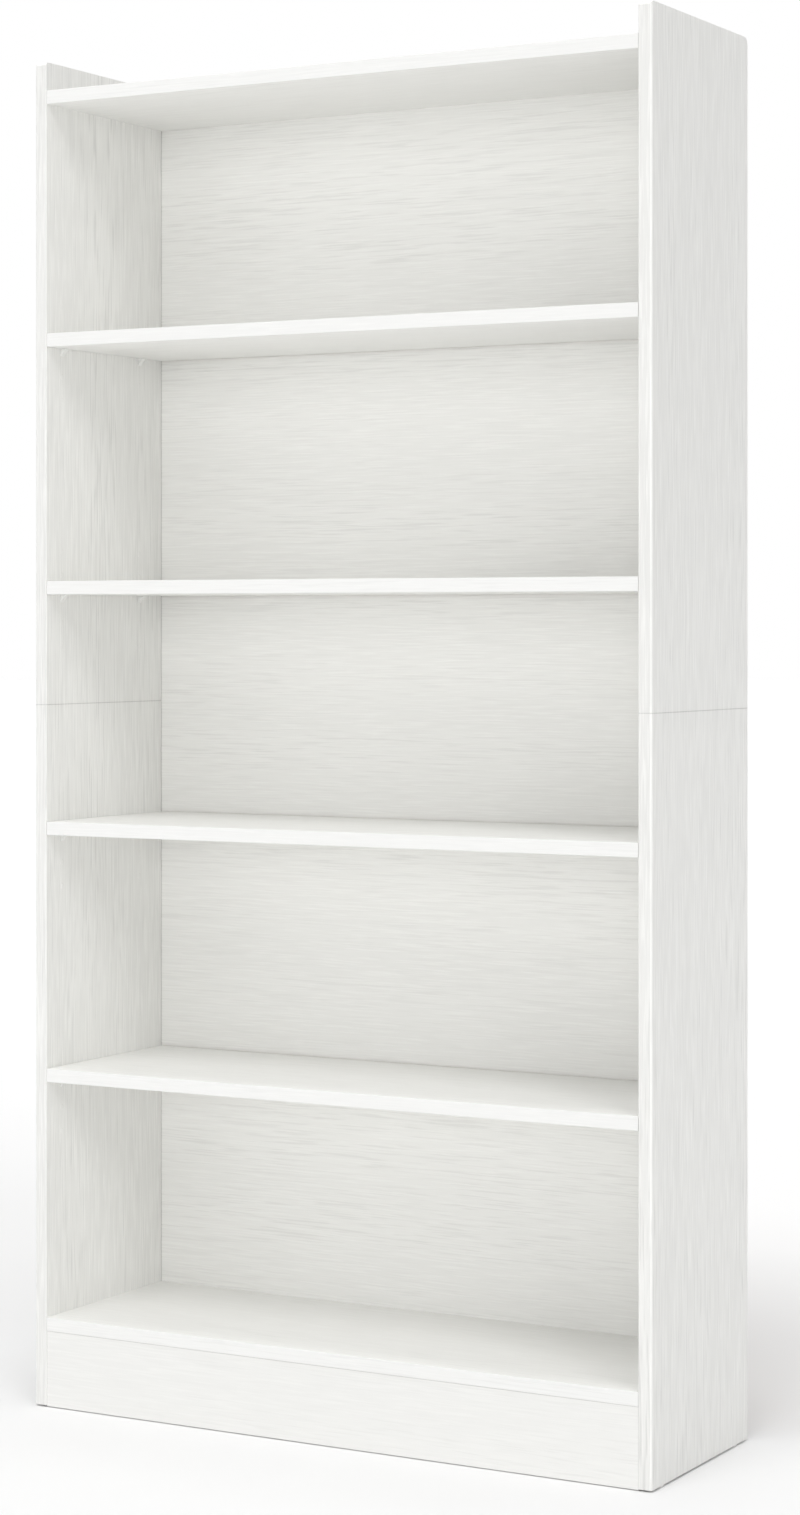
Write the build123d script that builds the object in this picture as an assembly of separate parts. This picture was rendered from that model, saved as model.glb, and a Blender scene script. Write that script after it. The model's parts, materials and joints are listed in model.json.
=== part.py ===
from build123d import *
import os

# A flat-pack bookcase: two side panels in upper and lower halves, a fixed top board,
# a fixed bottom board on a plinth, four shelves on lift-off supports, and a thin back
# held in grooves. Millimetres. X runs left to right, Y from front to back, Z up.
# The origin is on the floor, under the middle of the footprint.

os.makedirs("parts", exist_ok=True)

# ---- Driving sizes -------------------------------------------------------------------
WIDTH = 900.0
DEPTH = 300.0
HEIGHT = 1800.0
BOARD = 18.0                    # every particleboard panel

# Levels of the undersides
SIDE_BOTTOM = 2.5               # what the glides lift the side panels by
PLINTH_BOTTOM = 1.0
BOTTOM_BOARD = 102.0
SHELVES = [435.0, 765.5, 1087.5, 1419.0]
TOP_BOARD = 1744.0
SEAM = 940.0                    # where the lower side panels meet the upper ones

# Rounding of the side panels
OUTER_FRONT_R = 3.0
INNER_FRONT_R = 1.0
TOP_FRONT_R = 5.0
TOP_REAR_R = 10.0
EASED = 0.4                     # broken edge at the seam and at the plinth

# Boards and shelves
SET_BACK = 0.5                  # front edges, behind the side panels' front edges
PLINTH_SET_BACK = 1.5
BAND = 1.0                      # edge band thickness
BAND_R = 0.9
SHELF_END_GAP = 0.4
SHELF_REAR_GAP = 2.0

# Back panels in their grooves
BACK_INSET = 14.0               # from the rear edges to the back's front face
BACK_T = 3.0
GROOVE_DEPTH = 7.0
GROOVE_PLAY = 0.3
BACK_GRIP = 6.0                 # how far the back reaches into each groove
STRIP_FLANGE = 1.0
STRIP_HEIGHT = 12.0
STRIP_WEB = 1.2
STRIP_PLAY = 0.1

# Shelf supports: a wedge with a hollow face and a stud, in one of five rows of holes
HOLE_R = 2.5
HOLE_DEPTH = 10.0
ROW_PITCH = 32.0
ROWS = [-2, -1, 0, 1, 2]
FRONT_COLUMN = 37.0             # from the front edges
REAR_COLUMN = 229.0
STUD_R = 2.45
STUD_LENGTH = 9.0
STUD_DROP = 6.0                 # stud axis below the shelf's underside
LEDGE_LENGTH = 9.0
SUPPORT_WIDTH = 8.0
SUPPORT_HEIGHT = 10.0
SUPPORT_T = 1.6                 # at the wedge's two thin ends
HOLLOW = 1.2                    # depth of the wedge's hollow face
CAP_R = 4.0
CAP_HEAD = 0.3
CAP_STEM = 6.0

# Cam joints
CAM_REACH = 34.0                # from the board's end to the cam's axis
CAM_R = 7.4
CAM_POCKET_R = 7.5
CAM_DEPTH = 13.5
CAM_HEIGHT = 12.8
CAM_ROWS = [60.0, 226.0]        # from the front edges
BOLT_THREAD_R = 3.0
BOLT_THREAD_LENGTH = 11.0
BOLT_COLLAR_R = 3.8
BOLT_SHANK_R = 2.6
BOLT_HEAD_R = 3.4
BOLT_BORE_R = 4.0
CAM_CAP_R = 8.5
CAM_CAP_T = 1.0

# Dowels
DOWEL_R = 4.0
DOWEL_IN_SIDE = 11.0
DOWEL_IN_BOARD = 19.0
DOWEL_ROWS = [92.0, 194.0]      # from the front edges
PLINTH_DOWEL_LEVELS = [24.0, 80.0]
PLINTH_TOP_DOWELS = [-280.0, 0.0, 280.0]
SEAM_DOWEL_HALF = 20.0
SEAM_DOWEL_ROWS = [-100.0, 0.0, 100.0]

# Seam plates on the rear edges
PLATE_T = 1.5
PLATE_WIDTH = 12.0
PLATE_LENGTH = 90.0
PLATE_X = 443.0
PLATE_RECESS = 1.7
PLATE_SCREW_LEVELS = [-35.0, -15.0, 15.0, 35.0]     # from the seam

# Small wood screws: shank, head
SCREW_R = 1.6
SCREW_LENGTH = 14.0
SCREW_HEAD_R = 3.2
SCREW_HEAD_T = 1.4

# Wall brackets on the top board
BRACKET_X = 300.0
BRACKET_T = 2.0
BRACKET_WIDTH = 20.0
BRACKET_FOOT = 42.0
BRACKET_UPRIGHT = 30.0
BRACKET_BEND_R = 2.5
WALL_HOLE_R = 2.75
WALL_HOLE_LEVEL = 18.0          # above the top board
BRACKET_SCREW_ROWS = [8.0, 22.0]    # from the foot's front end

# Nails
NAIL_R = 0.8
NAIL_LENGTH = 20.0
NAIL_HEAD_R = 1.8
NAIL_HEAD_T = 0.6
BACK_NAILS = [-405.0, -270.0, -135.0, 0.0, 135.0, 270.0, 405.0]

# Glides
GLIDE_R = 8.0
GLIDE_ROWS = [-115.0, 115.0]
GLIDE_NAIL_R = 1.0
GLIDE_NAIL_LENGTH = 14.0
GLIDE_NAIL_HEAD_R = 2.4
GLIDE_RECESS = 1.4

# ---- Worked out from the sizes above -------------------------------------------------
FRONT = -DEPTH / 2
REAR = DEPTH / 2
INSIDE = WIDTH / 2 - BOARD              # inner face of the right-hand side panel
SIDE_MID = WIDTH / 2 - BOARD / 2
BACK_FACE = REAR - BACK_INSET           # front face of the back
PLINTH_MID = FRONT + PLINTH_SET_BACK + BOARD / 2
PLINTH_REAR = FRONT + PLINTH_SET_BACK + BOARD
TOP_OF_TOP = TOP_BOARD + BOARD

BASE = (Align.CENTER, Align.CENTER, Align.MIN)
RIGHT = (1, 0, 0)
LEFT = (-1, 0, 0)
BACKWARD = (0, 1, 0)
FORWARD = (0, -1, 0)
UP = (0, 0, 1)
DOWN = (0, 0, -1)


# ---- Helpers -------------------------------------------------------------------------
def block(x, y, z):
    """A box between a low and a high value on each axis."""
    size = Box(x[1] - x[0], y[1] - y[0], z[1] - z[0])
    return Pos((x[0] + x[1]) / 2, (y[0] + y[1]) / 2, (z[0] + z[1]) / 2) * size


def rod(start, direction, radius, length):
    """A cylinder from a point, along a direction."""
    return Plane(origin=start, z_dir=direction) * Cylinder(radius, length, align=BASE)


def along(start, direction, distance):
    """The point at a distance from another, along a direction."""
    return tuple(s + d * distance for s, d in zip(start, direction))


def cut(shape, tools):
    """A shape less a list of tools."""
    return shape - tools if tools else shape


def mirrored(shapes):
    """The left-hand copies of right-hand shapes."""
    return [mirror(shape, about=Plane.YZ) for shape in shapes]


def both(shapes):
    """Right-hand shapes and their left-hand copies."""
    return shapes + mirrored(shapes)


def save(name, *shapes):
    """Write one node, which may be a group of separate solids."""
    solids = [solid for shape in shapes for solid in shape.solids()]
    export_step(Compound(solids), f"parts/{name}.step")


# ---- Fasteners -----------------------------------------------------------------------
def headed(start, direction, shank_r, length, head_r, head_t):
    """A nail or screw: its shank runs from a point, and its head stands behind it."""
    shank = rod(start, direction, shank_r, length)
    back = tuple(-d for d in direction)
    head = rod(start, back, head_r, head_t)
    rim = head.edges().sort_by(lambda e: (e.center() - Vector(start)).dot(Vector(back)))[-1]
    return shank + fillet(rim, head_t * 0.45)


def nail(start, direction):
    return headed(start, direction, NAIL_R, NAIL_LENGTH, NAIL_HEAD_R, NAIL_HEAD_T)


def nail_bore(start, direction):
    return rod(start, direction, NAIL_R, NAIL_LENGTH)


def screw(start, direction):
    return headed(start, direction, SCREW_R, SCREW_LENGTH, SCREW_HEAD_R, SCREW_HEAD_T)


def screw_bore(start, direction):
    return rod(start, direction, SCREW_R, SCREW_LENGTH)


# ---- Cam joints, at the right-hand end of a board ------------------------------------
# Each is (y, z, facing): the bolt's axis, and the way that the cam's open face looks.
TOP_CAMS = [(FRONT + row, TOP_BOARD + BOARD / 2, UP) for row in CAM_ROWS]
BOTTOM_CAMS = [(FRONT + row, BOTTOM_BOARD + BOARD / 2, DOWN) for row in CAM_ROWS]
PLINTH_CAMS = [(PLINTH_MID, (PLINTH_BOTTOM + BOTTOM_BOARD) / 2, BACKWARD)]
ALL_CAMS = TOP_CAMS + BOTTOM_CAMS + PLINTH_CAMS


def cam_face(y, z, facing):
    """The middle of a cam's open face, on the board's surface."""
    return along((INSIDE - CAM_REACH, y, z), facing, BOARD / 2)


def into(facing):
    """The opposite way to a direction."""
    return tuple(-f for f in facing)


def cam_cuts(y, z, facing):
    """The pocket and the bolt's bore in the board."""
    pocket = rod(cam_face(y, z, facing), into(facing), CAM_POCKET_R, CAM_DEPTH)
    bore = rod((INSIDE, y, z), LEFT, BOLT_BORE_R, CAM_REACH)
    return [pocket, bore]


def cam_lock(y, z, facing):
    """A round cam: a hollow for the bolt's head, a slot around it and a driver's cross."""
    floor = along(cam_face(y, z, facing), into(facing), CAM_DEPTH)
    body = rod(floor, facing, CAM_R, CAM_HEIGHT)
    head_room = Pos(INSIDE - CAM_REACH, y, z) * Sphere(BOLT_HEAD_R + 0.7)
    neck = rod((INSIDE - CAM_REACH, y, z), RIGHT, BOLT_SHANK_R + 0.6, CAM_R + 1)
    top = along(floor, facing, CAM_HEIGHT)
    cross = Plane(origin=top, z_dir=facing) * (Box(8, 1.6, 4) + Box(1.6, 8, 4))
    return cut(body, [head_room, neck, cross])


def cam_bolt(y, z):
    """A bolt that screws into the side panel and hooks into the cam."""
    start = (INSIDE, y, z)
    thread = rod(start, RIGHT, BOLT_THREAD_R, BOLT_THREAD_LENGTH)
    collar = rod(start, LEFT, BOLT_COLLAR_R, 3)
    shank = rod(start, LEFT, BOLT_SHANK_R, CAM_REACH)
    head = Pos(INSIDE - CAM_REACH, y, z) * Sphere(BOLT_HEAD_R)
    return thread + collar + shank + head


def cam_cap(y, z, facing):
    """A thin round cover over the cam, with an eased rim."""
    disc = rod(cam_face(y, z, facing), facing, CAM_CAP_R, CAM_CAP_T)
    centre = Vector(cam_face(y, z, facing))
    rim = disc.edges().sort_by(lambda e: (e.center() - centre).dot(Vector(facing)))[-1]
    return fillet(rim, CAM_CAP_T * 0.7)


# ---- Dowels --------------------------------------------------------------------------
# Each is the (y, z) of a dowel at the right-hand end of a board.
TOP_DOWELS = [(FRONT + row, TOP_BOARD + BOARD / 2) for row in DOWEL_ROWS]
BOTTOM_DOWELS = [(FRONT + row, BOTTOM_BOARD + BOARD / 2) for row in DOWEL_ROWS]
PLINTH_DOWELS = [(PLINTH_MID, level) for level in PLINTH_DOWEL_LEVELS]
ALL_DOWELS = TOP_DOWELS + BOTTOM_DOWELS + PLINTH_DOWELS


def end_dowel(y, z):
    start = (INSIDE - DOWEL_IN_BOARD, y, z)
    return rod(start, RIGHT, DOWEL_R, DOWEL_IN_BOARD + DOWEL_IN_SIDE)


def plinth_top_dowel(x):
    start = (x, PLINTH_MID, BOTTOM_BOARD - DOWEL_IN_BOARD)
    return rod(start, UP, DOWEL_R, DOWEL_IN_BOARD + DOWEL_IN_SIDE)


def seam_dowel(y):
    start = (SIDE_MID, y, SEAM - SEAM_DOWEL_HALF)
    return rod(start, UP, DOWEL_R, 2 * SEAM_DOWEL_HALF)


# ---- Shelf supports and their holes --------------------------------------------------
COLUMNS = {"front": FRONT + FRONT_COLUMN, "rear": FRONT + REAR_COLUMN}


def support_holes(levels):
    """All rows of right-hand holes for the shelves whose undersides are given."""
    return [
        rod((INSIDE, y, level - STUD_DROP + row * ROW_PITCH), RIGHT, HOLE_R, HOLE_DEPTH)
        for level in levels
        for row in ROWS
        for y in COLUMNS.values()
    ]


def support(y, level):
    """A right-hand support: a wedge under the shelf whose long face is hollow, and a stud."""
    wall, tip = (INSIDE, level - SUPPORT_HEIGHT), (INSIDE - LEDGE_LENGTH, level)
    foot = (INSIDE - SUPPORT_T, level - SUPPORT_HEIGHT)
    ledge = (INSIDE - LEDGE_LENGTH, level - SUPPORT_T)
    edges = Polyline(ledge, tip, (INSIDE, level), wall, foot)
    hollow = SagittaArc(foot, ledge, -HOLLOW)
    outline = make_face(edges + hollow)
    face = Plane(origin=(0, y, 0), x_dir=RIGHT, z_dir=FORWARD) * outline
    body = extrude(face, SUPPORT_WIDTH / 2, both=True)
    return body + rod((INSIDE, y, level - STUD_DROP), RIGHT, STUD_R, STUD_LENGTH)


def hole_cap(y, level):
    """A low round cap in a spare hole."""
    stem = rod((INSIDE, y, level), RIGHT, STUD_R, CAP_STEM)
    head = rod((INSIDE, y, level), LEFT, CAP_R, CAP_HEAD)
    return stem + fillet(head.edges().sort_by(Axis.X)[0], CAP_HEAD * 0.8)


def spare_hole_caps():
    """Caps for every row of right-hand holes but the one in use."""
    return [
        hole_cap(y, level - STUD_DROP + row * ROW_PITCH)
        for level in SHELVES
        for row in ROWS
        if row != 0
        for y in COLUMNS.values()
    ]


# ---- Side panels ---------------------------------------------------------------------
def panel_blank(bottom, top):
    """A right-hand side panel with its front edges rounded and its ends eased."""
    blank = block((INSIDE, WIDTH / 2), (FRONT, REAR), (bottom, top))
    front = blank.edges().filter_by(Axis.Z).sort_by(Axis.Y)[:2].sort_by(Axis.X)
    blank = fillet(front[1], OUTER_FRONT_R)
    front = blank.edges().filter_by(Axis.Z).sort_by(Axis.Y)[0:2].sort_by(Axis.X)
    return fillet(front[0], INNER_FRONT_R)


def ease_end(panel, which):
    """Break the edges around the panel's lowest (0) or highest (-1) face."""
    end = panel.faces().filter_by(Plane.XY).sort_by(Axis.Z)[which]
    return chamfer(end.edges(), EASED)


def round_top(panel):
    """Round the two top corners, seen from the side."""
    outline = Pos(0, SEAM + (HEIGHT - SEAM) / 2) * Rectangle(DEPTH, HEIGHT - SEAM)
    top = outline.vertices().sort_by(Axis.Y)[2:].sort_by(Axis.X)
    outline = fillet(top[0], TOP_FRONT_R)
    top = outline.vertices().sort_by(Axis.Y)[-2:].sort_by(Axis.X)
    outline = fillet(top[1], TOP_REAR_R)
    prism = extrude(Plane.YZ * outline, WIDTH)
    return panel & prism


def groove():
    """The right-hand groove for the back, along both halves."""
    return block(
        (INSIDE - 1, INSIDE + GROOVE_DEPTH),
        (BACK_FACE - GROOVE_PLAY, BACK_FACE + BACK_T + GROOVE_PLAY),
        (0, HEIGHT + 1),
    )


def side_cuts():
    """Every hole and recess that the right-hand side panels share out between them."""
    dowels = [end_dowel(y, z) for y, z in ALL_DOWELS]
    dowels += [seam_dowel(y) for y in SEAM_DOWEL_ROWS]
    pilots = [
        rod((INSIDE, y, z), RIGHT, BOLT_THREAD_R, BOLT_THREAD_LENGTH) for y, z, _ in ALL_CAMS
    ]
    recess = block(
        (PLATE_X - PLATE_WIDTH / 2, PLATE_X + PLATE_WIDTH / 2),
        (REAR - PLATE_RECESS, REAR + 1),
        (SEAM - PLATE_LENGTH / 2, SEAM + PLATE_LENGTH / 2),
    )
    plate_screws = [screw_bore(*place) for place in plate_screw_places()]
    glide_nails = [glide_nail_bore(y) for y in GLIDE_ROWS]
    holes = dowels + pilots + plate_screws + glide_nails + support_holes(SHELVES)
    return holes + [recess, groove()]


# ---- Seam plates ---------------------------------------------------------------------
PLATE_FACE = REAR - PLATE_RECESS + PLATE_T      # the plate's rear face


def plate_screw_places():
    """Start and direction of each right-hand plate screw."""
    return [((PLATE_X, PLATE_FACE, SEAM + level), FORWARD) for level in PLATE_SCREW_LEVELS]


def seam_plate():
    """A flat steel strap across the seam, with rounded ends."""
    blank = block(
        (PLATE_X - PLATE_WIDTH / 2, PLATE_X + PLATE_WIDTH / 2),
        (PLATE_FACE - PLATE_T, PLATE_FACE),
        (SEAM - PLATE_LENGTH / 2, SEAM + PLATE_LENGTH / 2),
    )
    blank = fillet(blank.edges().filter_by(Axis.Y), PLATE_WIDTH * 0.3)
    return cut(blank, [screw_bore(*place) for place in plate_screw_places()])


def plate_screw(start, direction):
    """A countersunk-like flat screw: its low head lies on the plate, inside the depth."""
    return headed(start, direction, SCREW_R, SCREW_LENGTH, SCREW_HEAD_R * 0.9, 0.2)


# ---- Wall brackets -------------------------------------------------------------------
BRACKET_FRONT = REAR - BRACKET_FOOT


def bracket_screw_places():
    """Start and direction of each right-hand bracket screw."""
    level = TOP_OF_TOP + BRACKET_T
    return [((BRACKET_X, BRACKET_FRONT + row, level), DOWN) for row in BRACKET_SCREW_ROWS]


def wall_bracket():
    """A right-hand steel angle: its foot on the top board, its upright at the wall."""
    x_span = (BRACKET_X - BRACKET_WIDTH / 2, BRACKET_X + BRACKET_WIDTH / 2)
    foot = block(x_span, (BRACKET_FRONT, REAR), (TOP_OF_TOP, TOP_OF_TOP + BRACKET_T))
    upright = block(x_span, (REAR - BRACKET_T, REAR), (TOP_OF_TOP, TOP_OF_TOP + BRACKET_UPRIGHT))
    angle = foot + upright
    bend = angle.edges().filter_by(Axis.X).sort_by(lambda e: e.center().Y - e.center().Z)[-1]
    angle = fillet(bend, BRACKET_BEND_R)
    tips = angle.edges().filter_by(Axis.Z).sort_by(Axis.Y)[:2]
    tips += angle.edges().filter_by(Axis.Y).sort_by(Axis.Z)[-2:]
    angle = fillet(tips, BRACKET_WIDTH * 0.2)
    wall_hole = rod((BRACKET_X, REAR + 1, TOP_OF_TOP + WALL_HOLE_LEVEL), FORWARD, WALL_HOLE_R, 5)
    return cut(angle, [wall_hole] + [screw_bore(*place) for place in bracket_screw_places()])


# ---- Back ----------------------------------------------------------------------------
JOINTS = [level + BOARD / 2 for level in SHELVES]
BACK_EDGES = [BOTTOM_BOARD] + JOINTS + [TOP_OF_TOP]
NAIL_LEVELS = [BOTTOM_BOARD + BOARD / 2, TOP_BOARD + BOARD / 2]


def back_nail_places():
    """Start and direction of each nail through the back into a fixed board."""
    rear = BACK_FACE + BACK_T
    return [((x, rear, level), FORWARD) for level in NAIL_LEVELS for x in BACK_NAILS]


def back_panel(low, high):
    """One panel of the back. It stops half a web short of each joint."""
    bottom = low if low == BACK_EDGES[0] else low + STRIP_WEB / 2
    top = high if high == BACK_EDGES[-1] else high - STRIP_WEB / 2
    half_width = INSIDE + BACK_GRIP
    return block((-half_width, half_width), (BACK_FACE, BACK_FACE + BACK_T), (bottom, top))


def joint_strip(level):
    """An H-section strip between two back panels, as long as the clear width."""
    half_length = INSIDE - SHELF_END_GAP
    span = (-half_length, half_length)
    half_height = STRIP_HEIGHT / 2
    rear_face = BACK_FACE + BACK_T
    outer = block(
        span,
        (BACK_FACE - STRIP_FLANGE - STRIP_PLAY, rear_face + STRIP_FLANGE + STRIP_PLAY),
        (level - half_height, level + half_height),
    )
    slot_y = (BACK_FACE - STRIP_PLAY, rear_face + STRIP_PLAY)
    over = block(span, slot_y, (level + STRIP_WEB / 2, level + half_height))
    under = block(span, slot_y, (level - half_height, level - STRIP_WEB / 2))
    return fillet(outer.edges().filter_by(Axis.X), 0.4) - over - under


# ---- Boards --------------------------------------------------------------------------
def board(half_length, front, rear, level):
    """A board's core, behind its edge band."""
    return block((-half_length, half_length), (front + BAND, rear), (level, level + BOARD))


def edge_band(half_length, front, level):
    """The band on a board's front edge, with its two long edges rounded."""
    band = block((-half_length, half_length), (front, front + BAND), (level, level + BOARD))
    return fillet(band.edges().filter_by(Axis.X).sort_by(Axis.Y)[:2], BAND_R)


def fixed_board(level, cams, dowels):
    """The top or bottom board, less the holes for its fasteners."""
    core = board(INSIDE, FRONT + SET_BACK, BACK_FACE, level)
    tools = [tool for cam in cams for tool in cam_cuts(*cam)]
    tools += [end_dowel(y, z) for y, z in dowels]
    return cut(core, both(tools) + [nail_bore(*place) for place in back_nail_places()])


def plinth():
    """The plinth board, with eased top and bottom edges at the front."""
    blank = block(
        (-INSIDE, INSIDE),
        (FRONT + PLINTH_SET_BACK, PLINTH_REAR),
        (PLINTH_BOTTOM, BOTTOM_BOARD),
    )
    blank = chamfer(blank.edges().filter_by(Axis.X).sort_by(Axis.Y)[:2], EASED)
    tools = [tool for cam in PLINTH_CAMS for tool in cam_cuts(*cam)]
    tools += [end_dowel(y, z) for y, z in PLINTH_DOWELS]
    return cut(blank, both(tools) + [plinth_top_dowel(x) for x in PLINTH_TOP_DOWELS])


# ---- Glides --------------------------------------------------------------------------
def glide_nail_bore(y):
    return rod((SIDE_MID, y, GLIDE_RECESS), UP, GLIDE_NAIL_R, GLIDE_NAIL_LENGTH)


def glide(y):
    """A round nail-on glide under a right-hand side panel, hollowed for its nail's head."""
    disc = rod((SIDE_MID, y, 0), UP, GLIDE_R, SIDE_BOTTOM)
    disc = fillet(disc.edges().sort_by(Axis.Z)[0], 1.0)
    hollow = rod((SIDE_MID, y, 0), UP, GLIDE_NAIL_HEAD_R + 0.4, GLIDE_RECESS)
    return cut(disc, [hollow, glide_nail_bore(y)])


def glide_nail(y):
    start = (SIDE_MID, y, GLIDE_RECESS)
    return headed(start, UP, GLIDE_NAIL_R, GLIDE_NAIL_LENGTH, GLIDE_NAIL_HEAD_R, 0.8)


# ---- Build ---------------------------------------------------------------------------
def build_sides():
    cuts = side_cuts()
    upper = round_top(ease_end(panel_blank(SEAM, HEIGHT), 0))
    lower = ease_end(ease_end(panel_blank(SIDE_BOTTOM, SEAM), -1), 0)
    for name, blank in (("upper", upper), ("lower", lower)):
        panel = cut(blank, cuts)
        save(f"right_side_{name}", panel)
        save(f"left_side_{name}", mirror(panel, about=Plane.YZ))


def build_boards():
    front = FRONT + SET_BACK
    save("top_board", fixed_board(TOP_BOARD, TOP_CAMS, TOP_DOWELS)
         - [screw_bore(*place) for place in bracket_screw_places()]
         - mirrored([screw_bore(*place) for place in bracket_screw_places()]))
    save("top_board_edge_band", edge_band(INSIDE, front, TOP_BOARD))
    save("bottom_board", fixed_board(BOTTOM_BOARD, BOTTOM_CAMS, BOTTOM_DOWELS)
         - [plinth_top_dowel(x) for x in PLINTH_TOP_DOWELS])
    save("bottom_board_edge_band", edge_band(INSIDE, front, BOTTOM_BOARD))
    save("plinth", plinth())
    for number, level in enumerate(SHELVES, 1):
        half_length = INSIDE - SHELF_END_GAP
        save(f"shelf_{number}", board(half_length, front, BACK_FACE - SHELF_REAR_GAP, level))
        save(f"shelf_{number}_edge_band", edge_band(half_length, front, level))


def build_back():
    bores = [nail_bore(*place) for place in back_nail_places()]
    for number, edges in enumerate(zip(BACK_EDGES, BACK_EDGES[1:]), 1):
        save(f"back_panel_{number}", back_panel(*edges) - bores)
    for number, level in enumerate(JOINTS, 1):
        save(f"back_joint_strip_{number}", joint_strip(level))
    save("back_nails", *[nail(*place) for place in back_nail_places()])


def build_supports():
    for number, level in enumerate(SHELVES, 1):
        for column, y in COLUMNS.items():
            piece = support(y, level)
            save(f"support_{number}_right_{column}", piece)
            save(f"support_{number}_left_{column}", mirror(piece, about=Plane.YZ))
    save("hole_caps", *both(spare_hole_caps()))


def build_fasteners():
    save("cam_locks", *both([cam_lock(*cam) for cam in ALL_CAMS]))
    save("cam_bolts", *both([cam_bolt(y, z) for y, z, _ in ALL_CAMS]))
    save("cam_caps", *both([cam_cap(*cam) for cam in ALL_CAMS]))
    save("board_dowels", *both([end_dowel(y, z) for y, z in ALL_DOWELS]))
    save("plinth_top_dowels", *[plinth_top_dowel(x) for x in PLINTH_TOP_DOWELS])
    save("seam_dowels", *both([seam_dowel(y) for y in SEAM_DOWEL_ROWS]))
    save("seam_plates", *both([seam_plate()]))
    save("seam_plate_screws", *both([plate_screw(*place) for place in plate_screw_places()]))
    bracket = wall_bracket()
    save("wall_bracket_right", bracket)
    save("wall_bracket_left", mirror(bracket, about=Plane.YZ))
    save("wall_bracket_screws", *both([screw(*place) for place in bracket_screw_places()]))
    save("glides", *both([glide(y) for y in GLIDE_ROWS]))
    save("glide_nails", *both([glide_nail(y) for y in GLIDE_ROWS]))


build_sides()
build_boards()
build_back()
build_supports()
build_fasteners()
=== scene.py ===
import json
import math

import bpy
import numpy as np
from bpy.props import FloatProperty, FloatVectorProperty, IntProperty, PointerProperty
from bpy.types import NodeSocket, Operator, Panel, PropertyGroup
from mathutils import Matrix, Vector

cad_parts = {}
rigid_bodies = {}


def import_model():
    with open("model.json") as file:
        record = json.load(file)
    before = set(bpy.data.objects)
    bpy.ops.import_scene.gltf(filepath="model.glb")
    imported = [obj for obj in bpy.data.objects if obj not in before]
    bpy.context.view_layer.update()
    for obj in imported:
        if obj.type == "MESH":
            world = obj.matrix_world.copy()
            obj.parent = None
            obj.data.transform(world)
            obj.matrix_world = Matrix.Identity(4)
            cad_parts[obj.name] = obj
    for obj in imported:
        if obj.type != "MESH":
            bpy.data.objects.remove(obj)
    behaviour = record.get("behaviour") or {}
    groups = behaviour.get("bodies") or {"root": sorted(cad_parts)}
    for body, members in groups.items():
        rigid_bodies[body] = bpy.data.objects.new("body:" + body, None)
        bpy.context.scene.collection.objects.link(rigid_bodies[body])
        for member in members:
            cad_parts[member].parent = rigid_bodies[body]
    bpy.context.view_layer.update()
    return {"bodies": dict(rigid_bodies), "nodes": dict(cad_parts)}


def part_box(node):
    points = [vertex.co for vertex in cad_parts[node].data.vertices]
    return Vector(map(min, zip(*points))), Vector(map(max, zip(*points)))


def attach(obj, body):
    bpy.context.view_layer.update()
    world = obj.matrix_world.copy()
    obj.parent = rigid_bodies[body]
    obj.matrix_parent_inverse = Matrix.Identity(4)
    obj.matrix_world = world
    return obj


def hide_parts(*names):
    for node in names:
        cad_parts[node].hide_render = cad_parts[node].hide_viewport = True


bl_info = {
    "name": "White bookcase with adjustable shelves",
    "version": (1, 0, 0),
    "blender": (4, 5, 0),
    "location": "3D View > Sidebar > Bookcase",
    "description": "Foils, fittings and studio of a tall flat-pack bookcase",
    "category": "Object",
}

# The bookcase stands on the floor with its open front towards -Y. Metres throughout.
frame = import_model()
NODES = frame["nodes"]
MM = 0.001

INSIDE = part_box("right_side_upper")[0].x        # inner face of the right-hand side panel
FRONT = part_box("right_side_lower")[0].y
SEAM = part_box("right_side_upper")[0].z
BACK_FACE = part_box("back_panel_1")[0].y
SHELF_COUNT = sum(body.startswith("shelf_") for body in frame["bodies"])
ON_FACE = 0.05 * MM             # a point this near a flat face lies on it

PAINTED_EDGE_SHADE = 0.91               # painted shade on the side panels' front edges, against their foil
# Painted shade: the plinth's foil is made darker than the other boards' foil.
PLINTH_PAINTED_SHADE = 0.93
JOINT_SHARE = 0.35              # how much of a joint's hairline is shadow
EMBOSSING = {"back": 0.6, "board": 0.4, "plinth": 0.35, "band": 0.3}    # side panels: 1
SUN_WIDTHS = {"key": 26, "high": 26, "down": 20, "front": 26, "left": 36}   # degrees


# ---- Settings ------------------------------------------------------------------------
def colour_setting(name, description, default):
    """A colour that a user can change."""
    return FloatVectorProperty(name=name, description=description, subtype="COLOR", min=0, max=1,
                               default=default)


def length_setting(name, description, low, high, default):
    """A length that a user can change, between two limits."""
    return FloatProperty(name=name, description=description, unit="LENGTH", min=low, max=high,
                         default=default)


def sun_strength(name, where, default):
    """The strength of one of the studio's soft suns."""
    return FloatProperty(name=name, description=f"Strength of the soft light {where}", min=0,
                         max=10, default=default)


def sun_direction(name, default):
    """Where one of the studio's soft suns stands."""
    return FloatVectorProperty(name=f"{name} from", description="Direction that it comes from",
                               subtype="DIRECTION", default=default)


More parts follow.
